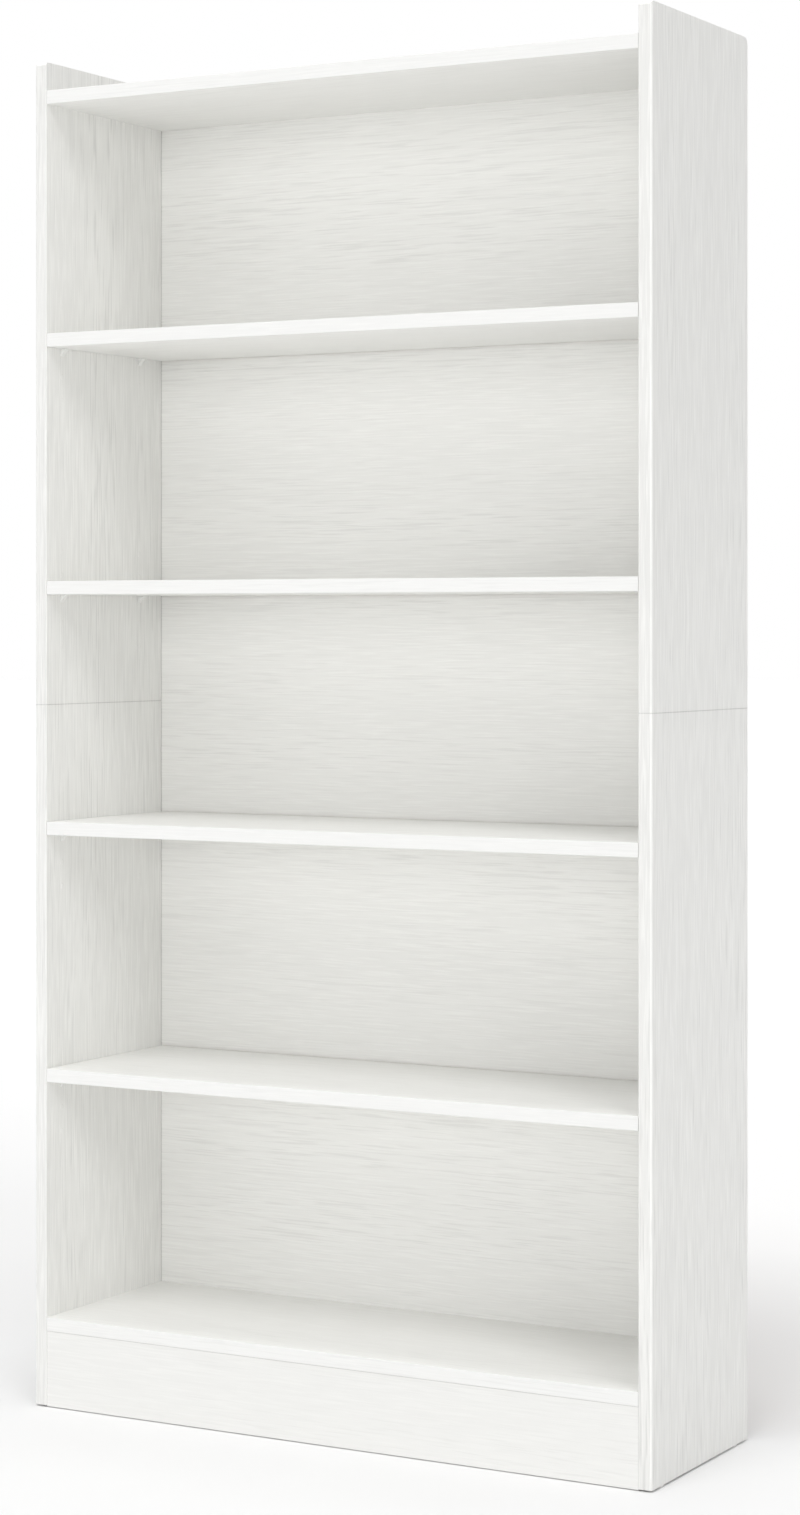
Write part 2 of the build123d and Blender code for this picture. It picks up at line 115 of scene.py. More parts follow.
class BookcaseFinishes(PropertyGroup):
    """Colours of the bookcase's materials, and the relief of its wood-grain foil."""

    foil_white: colour_setting(
        "Foil", "White of the foil on the sides, boards and shelves", (0.93, 0.928, 0.905))
    back_white: colour_setting(
        "Back", "White of the printed front of the thin back panels", (0.955, 0.953, 0.928))
    band_white: colour_setting(
        "Edge band", "White of the tape on the boards' front edges", (0.885, 0.885, 0.87))
    hardboard_brown: colour_setting(
        "Hardboard", "Bare rear of the back panels", (0.33, 0.215, 0.125))
    chipboard_tan: colour_setting(
        "Chipboard", "Bare core where a board's end or rear is not covered", (0.56, 0.42, 0.27))
    plastic_white: colour_setting(
        "White plastic", "Joint strips, caps and glides", (0.92, 0.92, 0.90))
    nylon_white: colour_setting("Support nylon", "Moulded shelf supports", (0.93, 0.93, 0.91))
    zinc_grey: colour_setting("Cast zinc", "Cam locks", (0.46, 0.46, 0.47))
    steel_grey: colour_setting(
        "Plated steel", "Plates, brackets, screws, bolts and nails", (0.58, 0.59, 0.60))
    beech_tan: colour_setting("Beech", "Dowels", (0.62, 0.41, 0.22))
    fibre_width: length_setting(
        "Fibre width", "Width of one embossed line of the grain", 0.0005, 0.01, 0.0022)
    fibre_length: length_setting(
        "Fibre length", "Length of one embossed line of the grain", 0.005, 0.5, 0.060)
    emboss_depth: length_setting(
        "Emboss depth", "Height of the grain's relief", 0, 0.001, 0.00013)
    grain_contrast: FloatProperty(
        name="Grain contrast", description="How much darker the grain's lines are than the foil",
        subtype="FACTOR", min=0, max=1, default=0.13)


class BookcaseFittings(PropertyGroup):
    """Sizes of the small details of the fittings."""

    thread_pitch: length_setting(
        "Screw pitch", "From one thread to the next on the wood screws", 0.0005, 0.005, 0.0015)
    thread_depth: length_setting(
        "Screw thread depth", "Height of the wood screws' thread", 0, 0.001, 0.00045)
    bolt_pitch: length_setting(
        "Bolt pitch", "From one thread to the next on the cam bolts", 0.0005, 0.005, 0.0022)
    bolt_thread_depth: length_setting(
        "Bolt thread depth", "Height of the cam bolts' thread", 0, 0.002, 0.0008)
    flute_count: IntProperty(
        name="Flutes", description="Grooves around a dowel", min=6, max=40, default=16)
    flute_depth: length_setting("Flute depth", "Depth of a dowel's grooves", 0, 0.001, 0.0003)
    support_edge: length_setting(
        "Support edge", "Rounding of a shelf support's edges", 0.0001, 0.0009, 0.00045)


class BookcaseStudio(PropertyGroup):
    """The floor, the lights and the camera."""

    floor_size: length_setting("Floor", "Radius of the floor", 2, 200, 60)
    floor_white: colour_setting("Floor colour", "Pale colour of the floor", (0.985, 0.985, 0.985))
    overhead: FloatProperty(
        name="Overhead", description="Brightness of the studio's ceiling, straight above",
        min=0, max=5, default=0.70)
    key_strength: sun_strength("Key", "in front, above and to the right", 0.6)
    key_from: sun_direction("Key", (0.75, -0.6, 0.62))
    high_strength: sun_strength("High", "in front and high up", 0.65)
    high_from: sun_direction("High", (0.0, -0.5, 0.85))
    down_strength: sun_strength("Down", "that shines straight down", 0.80)
    down_from: sun_direction("Down", (0.0, 0.0, 1.0))
    front_strength: sun_strength("Front", "straight in front", 0.69)
    front_from: sun_direction("Front", (0.3, -1.0, 0.06))
    left_strength: sun_strength("Left", "in front and to the left", 0.30)
    left_from: sun_direction("Left", (-0.5, -0.86, 0.12))
    lens: FloatProperty(
        name="Lens", description="Focal length in millimetres on a 36 mm sensor", min=10, max=300,
        default=78.87)
    camera_place: FloatVectorProperty(
        name="Camera place", description="Where the camera stands", subtype="TRANSLATION",
        default=(2.0855, -3.8248, 1.0465))
    camera_turn: FloatProperty(
        name="Camera turn", description="Turn of the level camera to the left of the +Y axis",
        subtype="ANGLE", default=math.radians(30.044))
    shift: FloatVectorProperty(
        name="Shift", description="Sideways and upward shift of the lens", size=2,
        default=(0.066, -0.0874))


# ---- Reading the frame ---------------------------------------------------------------
def solid_boxes(node):
    """Lowest and highest corners of each separate solid in a node, as two arrays. Vertices at
    one place are one point, and points joined by triangles take their least label until no
    label changes."""
    mesh = NODES[node].data
    corners = np.empty(len(mesh.vertices) * 3)
    mesh.vertices.foreach_get("co", corners)
    corners = corners.reshape(-1, 3)
    mesh.calc_loop_triangles()
    triangles = np.empty(len(mesh.loop_triangles) * 3, int)
    mesh.loop_triangles.foreach_get("vertices", triangles)
    point_of = np.unique(np.round(corners / (0.001 * MM)), axis=0, return_inverse=True)[1].ravel()
    triangles = point_of[triangles].reshape(-1, 3)
    label = np.arange(point_of.max() + 1)
    while True:
        least = label[triangles].min(1)
        after = label.copy()
        np.minimum.at(after, triangles.ravel(), np.repeat(least, 3))
        after = after[after]
        if np.array_equal(after, label):
            break
        label = after
    solid_of = label[point_of]
    members = [corners[solid_of == solid] for solid in np.unique(solid_of)]
    return np.array([m.min(0) for m in members]), np.array([m.max(0) for m in members])


def split_by_hand(lows, highs):
    """The boxes on the left and on the right of the middle, as (sign of X, lows, highs)."""
    right = (lows + highs)[:, 0] > 0
    return [(1, lows[right], highs[right]), (-1, lows[~right], highs[~right])]


def middles_at(lows, highs, axis, level):
    """The middles of some boxes, all brought to one level on an axis."""
    places = (lows + highs) / 2
    places[:, axis] = level
    return places


# ---- Surfaces ------------------------------------------------------------------------
def joined(parts):
    """Several surfaces as one: each part's faces are moved on past the points before it."""
    offsets = np.cumsum([0] + [len(points) for points, _ in parts[:-1]])
    points = np.concatenate([points for points, _ in parts])
    faces = [face + offset for (_, group), offset in zip(parts, offsets) for face in group]
    return points, faces


def repeated(part, places):
    """One surface at every place: the place is added to each of its points."""
    points, faces = part
    places = np.asarray(places, float).reshape(-1, 3)
    spread = (points[None] + places[:, None]).reshape(-1, 3)
    steps = (np.arange(len(places)) * len(points))[:, None, None]
    return spread, [(face[None] + steps).reshape(-1, face.shape[1]) for face in faces]


def mirrored(part):
    """The left-hand copy of a surface: X changes sign, and each face turns the other way."""
    points, faces = part
    return points * (-1, 1, 1), [face[:, ::-1] for face in faces]


def ring_quads(rows, columns):
    """Quads between neighbouring rows of a grid whose last column meets its first."""
    row, column = np.mgrid[0:rows - 1, 0:columns]
    beside = (column + 1) % columns
    corners = (row * columns + column, row * columns + beside,
               (row + 1) * columns + beside, (row + 1) * columns + column)
    return np.stack(corners, -1).reshape(-1, 4)


def axes_about(direction):
    """Two unit vectors across a direction that make a right-handed set with it."""
    ahead = np.array(direction, float)
    helper = np.array((0, 0, 1.0)) if abs(ahead[2]) < 0.9 else np.array((1.0, 0, 0))
    across = np.cross(helper, ahead)
    across /= np.linalg.norm(across)
    return across, np.cross(ahead, across), ahead


def turned(profile, direction, sides, *reliefs):
    """A profile turned about a direction. A point stands at its distance along the direction,
    and at its radius times the cosine and sine of the angle across it. Each relief in turn
    takes distance, radius and angle and gives the distance and radius after carving. The first
    and the last point of the profile are poles, each closed by a fan of triangles."""
    profile = np.asarray(profile, float)
    angles = np.linspace(0, 2 * np.pi, sides, endpoint=False)
    distance, angle = np.meshgrid(profile[1:-1, 0], angles, indexing="ij")
    radius = np.repeat(profile[1:-1, 1:2], sides, 1)
    for carve in reliefs:
        distance, radius = carve(distance, radius, angle)
    across, up, ahead = axes_about(direction)
    outward = np.cos(angle)[..., None] * across + np.sin(angle)[..., None] * up
    rings = (distance[..., None] * ahead + radius[..., None] * outward).reshape(-1, 3)
    points = np.concatenate([rings, profile[[0, -1], 0:1] * ahead])
    column = np.arange(sides)
    beside = (column + 1) % sides
    last = len(rings) - sides
    near = np.stack((np.full(sides, len(rings)), beside, column), -1)
    far = np.stack((np.full(sides, len(rings) + 1), last + column, last + beside), -1)
    return points, [ring_quads(len(profile) - 2, sides), near, far]


def arc(centre, radius, start, stop, steps):
    """Points of a circle: centre plus radius times cosine and sine, between two angles in
    degrees."""
    angle = np.radians(np.linspace(start, stop, steps))
    return [(centre[0] + radius * math.cos(a), centre[1] + radius * math.sin(a)) for a in angle]


def rounded_outline(corners, radii, steps):
    """A closed outline run anticlockwise, with each corner an arc that touches both its sides.
    The arc's centre stands on the corner's bisector, and its points turn evenly from one
    side's normal to the next. Gives the points and their outward normals."""
    corners = np.asarray(corners, float)
    radii = np.asarray(radii, float)[:, None]
    before = corners - np.roll(corners, 1, 0)
    before /= np.linalg.norm(before, axis=1, keepdims=True)
    after = np.roll(before, -1, 0)
    normal_before = before[:, ::-1] * (1, -1)
    normal_after = after[:, ::-1] * (1, -1)
    turn = before[:, 0] * after[:, 1] - before[:, 1] * after[:, 0]
    bend = np.sign(turn)[:, None]
    middle = normal_before + normal_after
    middle *= 2 / (middle ** 2).sum(1, keepdims=True)
    centres = corners - bend * radii * middle
    share = np.linspace(0, 1, steps)[None, :, None]
    normals = (1 - share) * normal_before[:, None] + share * normal_after[:, None]
    normals /= np.linalg.norm(normals, axis=2, keepdims=True)
    points = centres[:, None] + (bend * radii)[:, None] * normals
    return points.reshape(-1, 2), normals.reshape(-1, 2)


def rounded_slab(outline, normals, low, high, edge):
    """An outline in X and Z carried along Y, with a quarter round along both of its rims: at
    an angle, a row is set in by edge times one less the sine, and stands edge times one less
    the cosine from its end. The ends are flat faces."""
    angle = np.linspace(0, np.pi / 2, 4)
    inset = edge * (1 - np.sin(angle))
    depth = edge * (1 - np.cos(angle))
    insets = np.concatenate([inset, inset[::-1]])
    levels = np.concatenate([low + depth, high - depth[::-1]])
    flat = outline[None] - insets[:, None, None] * normals[None]
    count = len(outline)
    across = np.broadcast_to(levels[:, None, None], (len(levels), count, 1))
    points = np.concatenate([flat[..., :1], across, flat[..., 1:]], -1).reshape(-1, 3)
    first = np.arange(count)[None]
    last = first[:, ::-1] + count * (len(levels) - 1)
    return points, [ring_quads(len(levels), count)[:, ::-1], first, last]


def place_piece(name, parts, finish, body, replaced):
    """Make one piece of some surfaces in place of CAD nodes, give it its finish, and fix it to
    its body. Edges that turn by more than forty degrees stay sharp."""
    points, faces = joined(parts)
    mesh = bpy.data.meshes.new(name)
    mesh.from_pydata(points.tolist(), [], [face for group in faces for face in group.tolist()])
    mesh.validate()
    mesh.shade_smooth()
    mesh.set_sharp_from_angle(angle=math.radians(40))
    mesh.materials.append(finish)
    piece = bpy.data.objects.new(name, mesh)
    bpy.context.scene.collection.objects.link(piece)
    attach(piece, body)
    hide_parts(*replaced)


# ---- Relief on turned fittings -------------------------------------------------------
def threaded(start, stop, pitch, depth):
    """Relief of a helical thread: between its start and its stop the radius drops by depth
    times the distance from the nearest crest, as a triangle wave of distance over pitch less
    the turn of the angle."""
    def carve(distance, radius, angle):
        wave = (distance / pitch - angle / (2 * np.pi)) % 1
        valley = 1 - np.abs(2 * wave - 1)
        inside = (distance >= start) & (distance <= stop)
        return distance, radius - depth * valley * inside
    return carve


def fluted(count, depth, half_length, chamfer):
    """Relief of straight flutes: the radius drops by depth times the square of a raised
    cosine of the angle, except on the chamfered ends."""
    def carve(distance, radius, angle):
        groove = (0.5 + 0.5 * np.cos(count * angle)) ** 2
        body = np.abs(distance) <= half_length - chamfer * 0.5
        return distance, radius - depth * groove * body
    return carve


def cross_recess(face, depth, half_width, half_length):
    """Relief of a driver's cross in a screw's face: a point of the face goes down by depth
    where it is within half_width of one axis and half_length of the other, with both limits
    eased over a fifth of the width, and less far towards the ends of the arms."""
    def carve(distance, radius, angle):
        x = np.abs(radius * np.cos(angle))
        y = np.abs(radius * np.sin(angle))
        soft = 0.4 * half_width
        narrow = np.clip((half_width - np.minimum(x, y)) / soft, 0, 1)
        within = np.clip((half_length - np.maximum(x, y)) / soft, 0, 1)
        taper = 1 - 0.6 * radius / half_length
        on_face = np.abs(distance - face) < 0.02 * MM
        return distance + depth * narrow * within * taper * on_face, radius
    return carve


def wood_screw(direction, shank_r, length, head_r, head_t, fittings):
    """A small wood screw, from its head's face to its point, with its start at the wood."""
    recess = min(1.0 * MM, head_t * 0.5 + 0.7 * MM)
    face_rings = [(-head_t, r) for r in np.linspace(0.08, 0.88, 11) * head_r]
    rim = arc((-head_t * 0.55, head_r - head_t * 0.45), head_t * 0.45, 180, 90, 4)
    neck = [(0, head_r), (0, shank_r + 0.2 * MM), (0.3 * MM, shank_r)]
    rows = np.arange(0.8 * MM, length - 3 * MM, fittings.thread_pitch / 5)
    shank = [(s, shank_r) for s in rows]
    point = [(length - 2.6 * MM, shank_r * 0.8), (length - 1.0 * MM, shank_r * 0.35)]
    profile = [(-head_t + recess, 0)] + face_rings + rim + neck + shank + point + [(length, 0)]
    thread = threaded(0.8 * MM, length - 3 * MM, fittings.thread_pitch, fittings.thread_depth)
    cross = cross_recess(-head_t, recess, 0.13 * head_r, 0.62 * head_r)
    return turned(profile, direction, 32, thread, cross)


def place_screws(name, node, axis, level, finish, fittings):
    """Wood screws in place of a node's solids, driven down an axis, with their heads on the
    face at a level."""
    lows, highs = solid_boxes(node)
    screw = wood_screw(-np.eye(3)[axis], 1.6 * MM, level - lows[0, axis],
                       (highs - lows)[0, 0] / 2, highs[0, axis] - level, fittings)
    place_piece(name, [repeated(screw, middles_at(lows, highs, axis, level))], finish,
                "carcass", [node])


def nail(direction, shank_r, length, head_r, head_t):
    """A nail: a low domed head, a plain shank with a few grip rings, and a short point."""
    dome = [(-head_t * (1 - 0.35 * share ** 2), share * head_r)
            for share in np.linspace(0.3, 0.85, 3)]
    rim = arc((-head_t * 0.35, head_r - head_t * 0.3), head_t * 0.3, 180, 90, 3)
    rings = []
    for ring in range(4):
        at = (1.2 + 1.1 * ring) * MM
        rings += [(at, shank_r), (at + 0.2 * MM, shank_r * 0.86), (at + 0.4 * MM, shank_r)]
    tip = [(length - 2 * MM, shank_r), (length - 0.8 * MM, shank_r * 0.55)]
    profile = [(-head_t, 0)] + dome + rim + [(0, head_r), (0, shank_r)] + rings + tip
    return turned(profile + [(length, 0)], direction, 16)


# ---- Finishes ------------------------------------------------------------------------
class Recipe:
    """A finish being wired up. Each method adds the nodes of one step and gives its output."""

    def __init__(self, name):
        self.material = bpy.data.materials.new(name)
        self.material.use_nodes = True
        self.tree = self.material.node_tree
        self.tree.nodes.clear()
        self.place = self.add("TexCoord").outputs["Object"]

    def add(self, kind, sockets=(), **settings):
        """A node with its settings, and with its sockets set to numbers or linked."""
        node = self.tree.nodes.new("ShaderNode" + kind)
        for key, value in settings.items():
            setattr(node, key, value)
        for key, value in dict(sockets).items():
            if isinstance(value, NodeSocket):
                self.tree.links.new(value, node.inputs[key])
            else:
                node.inputs[key].default_value = value
        return node

    def noise(self, repeats, detail=2.0, roughness=0.5, output="Fac", place=None):
        """Soft random blotches, with so many repeats a metre on each axis."""
        scale = repeats if isinstance(repeats, tuple) else (repeats,) * 3
        sockets = {"Vector": self.place if place is None else place, "Scale": scale}
        sockets = {"Vector": self.add("Mapping", sockets).outputs["Vector"], "Scale": 1.0,
                   "Detail": detail, "Roughness": roughness}
        return self.add("TexNoise", sockets).outputs[output]

    def maths(self, operation, a, b=0.0, clamp=False):
        """One sum on two values."""
        return self.add("Math", {0: a, 1: b}, operation=operation, use_clamp=clamp).outputs[0]

    def remap(self, value, low, high, to_low=0.0, to_high=1.0):
        """A value stretched from one range to another, and held inside it."""
        sockets = {"Value": value, "From Min": low, "From Max": high, "To Min": to_low,
                   "To Max": to_high}
        return self.add("MapRange", sockets).outputs["Result"]

    def blend(self, share, a, b, mode="MIX"):
        """Two colours, mixed or multiplied."""
        sockets = {"Factor": share, 6: colour(a), 7: colour(b)}
        return self.add("Mix", sockets, data_type="RGBA", blend_type=mode).outputs[2]

    def coordinate(self, axis):
        """One of the three coordinates, in metres."""
        return self.add("SeparateXYZ", {0: self.place}).outputs[axis]

    def on_planes(self, planes):
        """One on a few flat faces, each given by its axis and level, and nought elsewhere."""
        total = 0.0
        for axis, level in planes:
            near = self.maths("SUBTRACT", self.coordinate(axis), level)
            near = self.maths("LESS_THAN", self.maths("ABSOLUTE", near), ON_FACE)
            total = self.maths("ADD", near, total, clamp=True)
        return total

    def painted_joint_shadow(self, tone, axis, level, white, half_width=0.8 * MM):
        """A tone with the shadow of a joint, a dark hairline at a level to each side of 0."""
        away = self.maths("SUBTRACT", self.maths("ABSOLUTE", self.coordinate(axis)), level)
        away = self.maths("ABSOLUTE", away)
        line = self.remap(away, 0.4 * half_width, half_width, JOINT_SHARE, 0.0)
        return self.blend(line, tone, shade(white, 0.3))

    def finished(self, base, roughness, height, depth, **sockets):
        """The shader itself, with a bump of the given height in metres."""
        bump = self.add("Bump", {"Distance": depth, "Height": height})
        shader = {"Base Color": base, "Roughness": roughness, "Normal": bump.outputs["Normal"]}
        shader.update({key.replace("_", " "): value for key, value in sockets.items()})
        surface = self.add("BsdfPrincipled", shader).outputs["BSDF"]
        self.add("OutputMaterial", {"Surface": surface})
        return self.material


def colour(value):
    """A colour with its alpha, or a socket left as it is."""
    return value if isinstance(value, NodeSocket) else (*value, 1.0)


def shade(white, factor):
    """A colour made darker or lighter."""
    return tuple(min(1.0, part * factor) for part in white)


def grain_scale(grain, along, across):
    """Repeats a metre on each axis, for a grain that runs along one of them."""
    return tuple(along if axis == grain else across for axis in range(3))


def chipboard(recipe, tan):
    """Colour of bare chipboard: flakes a few millimetres across, each a brown of its own."""
    flakes = recipe.add("TexVoronoi", {"Vector": recipe.place, "Scale": 420.0,
                                       "Randomness": 1.0}).outputs["Color"]
    pick = recipe.add("SeparateColor", {0: flakes}).outputs[0]
    return recipe.blend(pick, shade(tan, 0.72), shade(tan, 1.25))


def foil_grain(recipe, grain, finishes):
    """Layers of an embossed wood-grain foil whose grain runs along one axis: the fibres, the
    pores gathered in bands, the broad bands, the streaks, and the relief that they make
    together. The lines wander a little because a broad noise pushes their coordinates."""
    drift = recipe.noise(grain_scale(grain, 1.5, 4.0), 1.0, output="Color")
    drift = recipe.add("VectorMath", {0: drift, 1: (0.5, 0.5, 0.5)}, operation="SUBTRACT")
    drift = recipe.add("VectorMath", {0: drift.outputs[0], "Scale": 4 * MM}, operation="SCALE")
    pushed = recipe.add("VectorMath", {0: recipe.place, 1: drift.outputs[0]}, operation="ADD")
    pushed = pushed.outputs[0]
    along, across = 1 / finishes.fibre_length, 1 / finishes.fibre_width

    def lines(length, width, low, high):
        layer = recipe.noise(grain_scale(grain, length, width), 1.0, 0.6, place=pushed)
        return recipe.remap(layer, low, high)

    fibres = lines(along, across, 0.48, 0.66)
    streaks = lines(0.25 * along, 0.5 * across, 0.45, 0.72)
    bands = recipe.noise(grain_scale(grain, 0.8, 13.0), 3.0, place=pushed)
    pores = lines(0.8 * along, 0.9 * across, 0.53, 0.68)
    pores = recipe.maths("MULTIPLY", pores, recipe.remap(bands, 0.42, 0.60, 0.35, 1.0))
    relief = recipe.maths("SUBTRACT", recipe.maths("MULTIPLY", fibres, 0.6), pores)
    return fibres, pores, bands, streaks, relief


def foil_colour(recipe, grain, white, finishes, depth=1.0):
    """Colour, roughness and relief of a foil, its grain deep or faint."""
    fibres, pores, bands, streaks, relief = foil_grain(recipe, grain, finishes)
    contrast = finishes.grain_contrast * depth
    tone = recipe.blend(recipe.remap(bands, 0.35, 0.65), shade(white, 1 - 0.2 * contrast),
                        shade(white, 1 + 0.1 * contrast))
    tone = recipe.blend(recipe.maths("MULTIPLY", streaks, 0.4), tone,
                        shade(white, 1 - 0.5 * contrast))
    tone = recipe.blend(fibres, tone, shade(white, 1 + 0.45 * contrast))
    tone = recipe.blend(recipe.maths("MULTIPLY", pores, 0.9), tone, shade(white, 1 - contrast))
    roughness = recipe.remap(relief, -0.8, 0.5, 0.62, 0.46)
    return tone, roughness, relief


def foil_finish(name, grain, white, finishes, joints=(), bare=(), painted_shade_faces=(), depth=1.0):
    """A foil on chipboard, with the chipboard bare on some flat faces, painted shade on others, and
    painted shadow hairlines at its joints to other boards."""
    recipe = Recipe(name)
    tone, roughness, relief = foil_colour(recipe, grain, white, finishes, depth)
    # Painted shadow hairline at each joint.
    for axis, level in joints:
        tone = recipe.painted_joint_shadow(tone, axis, level, white)
    # Painted shade: the given faces are multiplied darker than the rest of the foil.
    if painted_shade_faces:
        tone = recipe.blend(recipe.on_planes(painted_shade_faces), tone, (PAINTED_EDGE_SHADE,) * 3, "MULTIPLY")
    if bare:
        open_core = recipe.on_planes(bare)
        tone = recipe.blend(open_core, tone, chipboard(recipe, finishes.chipboard_tan))
        roughness = recipe.maths("ADD", roughness, recipe.maths("MULTIPLY", open_core, 0.3))
    return recipe.finished(tone, roughness, relief, finishes.emboss_depth * depth,
                           Specular_IOR_Level=0.35)


def back_finish(name, finishes):
    """Printed paper on the front of thin hardboard, which is bare and brown elsewhere."""
    recipe = Recipe(name)
    white = finishes.back_white
    tone, roughness, relief = foil_colour(recipe, 0, white, finishes, EMBOSSING["back"])
    # Painted shadow line where the back meets the inner faces of the side panels.
    tone = recipe.painted_joint_shadow(tone, 0, INSIDE, white, 2 * MM)
    paper = recipe.on_planes([(1, BACK_FACE)])
    brown = finishes.hardboard_brown
    felt = recipe.noise(300.0, 5.0, 0.7)
    clouds = recipe.noise(9.0, 3.0)
    bare = recipe.blend(recipe.remap(felt, 0.3, 0.7), shade(brown, 0.78), shade(brown, 1.22))
    bare = recipe.blend(recipe.remap(clouds, 0.35, 0.7, 0.0, 0.5), bare, shade(brown, 0.85))
    tone = recipe.blend(paper, bare, tone)
    roughness = recipe.maths("SUBTRACT", 0.86, recipe.maths("MULTIPLY", paper, 0.28))
    height = recipe.add("Mix", {"Factor": paper, 2: felt, 3: relief}).outputs[0]
    return recipe.finished(tone, roughness, height, finishes.emboss_depth,
                           Specular_IOR_Level=0.3)


def plastic_finish(name, white, rough, grit=700.0):
    """Moulded plastic: a fine even grit, and a faint cloudiness in its white."""
    recipe = Recipe(name)
    cloud = recipe.noise(60.0, 3.0)
    skin = recipe.noise(grit)
    tone = recipe.blend(recipe.remap(cloud, 0.3, 0.7), shade(white, 0.96), shade(white, 1.02))
    roughness = recipe.remap(skin, 0.3, 0.7, rough - 0.06, rough + 0.08)
    return recipe.finished(tone, roughness, skin, 0.02 * MM, Specular_IOR_Level=0.45)


def metal_finish(name, grey, rough, warm, streak):
    """Plated or cast metal: a faint warm bloom of passivation, and a fine drawn or cast grain
    in its roughness and relief. streak is the grain's repeats a metre."""
    recipe = Recipe(name)
    bloom = recipe.noise(55.0, 3.0)
    grain = recipe.noise(streak, 3.0, 0.6)
    tone = recipe.blend(recipe.remap(bloom, 0.35, 0.7), grey, warm)
    tone = recipe.blend(recipe.remap(grain, 0.35, 0.65, 0.0, 0.35), tone, shade(grey, 0.7))
    roughness = recipe.remap(grain, 0.3, 0.7, rough - 0.08, rough + 0.12)
    return recipe.finished(tone, roughness, grain, 0.03 * MM, Metallic=1.0)


def beech_finish(name, grain, tan):
    """Turned beech: fine long fibres and short darker flecks along one axis."""
    recipe = Recipe(name)
    fibre = recipe.noise(grain_scale(grain, 60.0, 1500.0), 3.0)
    fleck = recipe.noise(grain_scale(grain, 300.0, 2200.0), 1.0)
    tone = recipe.blend(recipe.remap(fibre, 0.3, 0.7), shade(tan, 0.8), shade(tan, 1.2))
    tone = recipe.blend(recipe.remap(fleck, 0.6, 0.72), tone, shade(tan, 0.5))
    roughness = recipe.remap(fibre, 0.3, 0.7, 0.55, 0.75)
    return recipe.finished(tone, roughness, fibre, 0.08 * MM, Specular_IOR_Level=0.3)


def floor_finish(white):
    """A plain pale studio floor with a barely uneven tone and sheen, and a painted shadow that
    makes it a little greyer for the first metre around the bookcase."""
    recipe = Recipe("studio_floor")
    cloud = recipe.noise(0.7)
    distance = recipe.add("VectorMath", {0: recipe.place}, operation="LENGTH").outputs["Value"]
    # Painted shadow: darker near the bookcase, fading out between 0.4 m and 1.4 m from its middle.
    grey = recipe.blend(recipe.remap(distance, 0.4, 1.4), shade(white, 0.90), white)
    tone = recipe.blend(recipe.maths("MULTIPLY", cloud, 0.1), grey, shade(white, 0.97))
    roughness = recipe.remap(cloud, 0.3, 0.7, 0.78, 0.84)
    return recipe.finished(tone, roughness, cloud, 0.02 * MM, Specular_IOR_Level=0.0)


def dress(nodes, finish):
    """Give CAD nodes a finish in place of their plain one."""
    for node in nodes:
        piece = NODES[node]
        piece.data.materials.clear()
        piece.data.materials.append(finish)


def plated(name, finishes, streak=400.0):
    """Zinc plate with a slightly yellow bloom."""
    warm = (finishes.steel_grey[0], finishes.steel_grey[1] * 0.97, finishes.steel_grey[2] * 0.88)
    return metal_finish(name, finishes.steel_grey, 0.34, warm, streak)


def soft_sun(context, name, origin, strength, width):
    """A distant soft light that comes from a direction and is some degrees wide."""
    lamp = bpy.data.lights.new(name, "SUN")
    lamp.energy = strength
    lamp.angle = math.radians(width)
    light = bpy.data.objects.new(name, lamp)
    light.location = 5 * Vector(origin).normalized()
    light.rotation_euler = (-light.location).to_track_quat("-Z", "Y").to_euler()
    context.scene.collection.objects.link(light)


# ---- Operators -----------------------------------------------------------------------
class BOOKCASE_OT_side_panels(Operator):
    """Cover the four halves of the side panels in foil with an upright grain"""
    bl_idname = "bookcase.side_panels"
    bl_label = "Side Panels"

    def execute(self, context):
        finishes = context.scene.bookcase_finishes
        # Painted shadow hairline along the seam, and painted shade on the front edges.
        finish = foil_finish("side_foil", 2, finishes.foil_white, finishes,
                             joints=[(2, SEAM)], painted_shade_faces=[(1, FRONT)])
        dress([f"{hand}_side_{half}" for hand in ("left", "right") for half in ("upper", "lower")],
              finish)
        return {"FINISHED"}


class BOOKCASE_OT_boards(Operator):
    """Cover the fixed boards, the plinth and the shelves in foil, and band their fronts"""
    bl_idname = "bookcase.boards"
    bl_label = "Boards and Shelves"

    def execute(self, context):
        finishes = context.scene.bookcase_finishes
        boards = ["top_board", "bottom_board"] + [f"shelf_{n + 1}" for n in range(SHELF_COUNT)]
        for board in boards:
            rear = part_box(board)[1].y
            finish = foil_finish(f"{board}_foil", 0, finishes.foil_white, finishes,
                                 bare=[(1, rear)], depth=EMBOSSING["board"])
            dress([board], finish)
        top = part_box("plinth")[1].z
        # Painted shade over the whole plinth, and painted shadow hairlines along its top and at its
        # ends.
        finish = foil_finish("plinth_foil", 0, shade(finishes.foil_white, PLINTH_PAINTED_SHADE), finishes,
                             joints=[(2, top), (0, INSIDE)], depth=EMBOSSING["plinth"])
        dress(["plinth"], finish)
        # Painted shadow hairlines where the bands meet the side panels.
        band = foil_finish("edge_band", 0, finishes.band_white, finishes,
                           joints=[(0, INSIDE)], depth=EMBOSSING["band"])
        dress([f"{board}_edge_band" for board in boards], band)
        return {"FINISHED"}


class BOOKCASE_OT_back(Operator):
    """Print the fronts of the back panels, leave their rears brown, and colour their strips"""
    bl_idname = "bookcase.back"
    bl_label = "Back"

    def execute(self, context):
        finishes = context.scene.bookcase_finishes
        dress([node for node in NODES if node.startswith("back_panel")],
              back_finish("back_foil", finishes))
        dress([node for node in NODES if node.startswith("back_joint_strip")],
              plastic_finish("strip_plastic", finishes.plastic_white, 0.5))
        return {"FINISHED"}


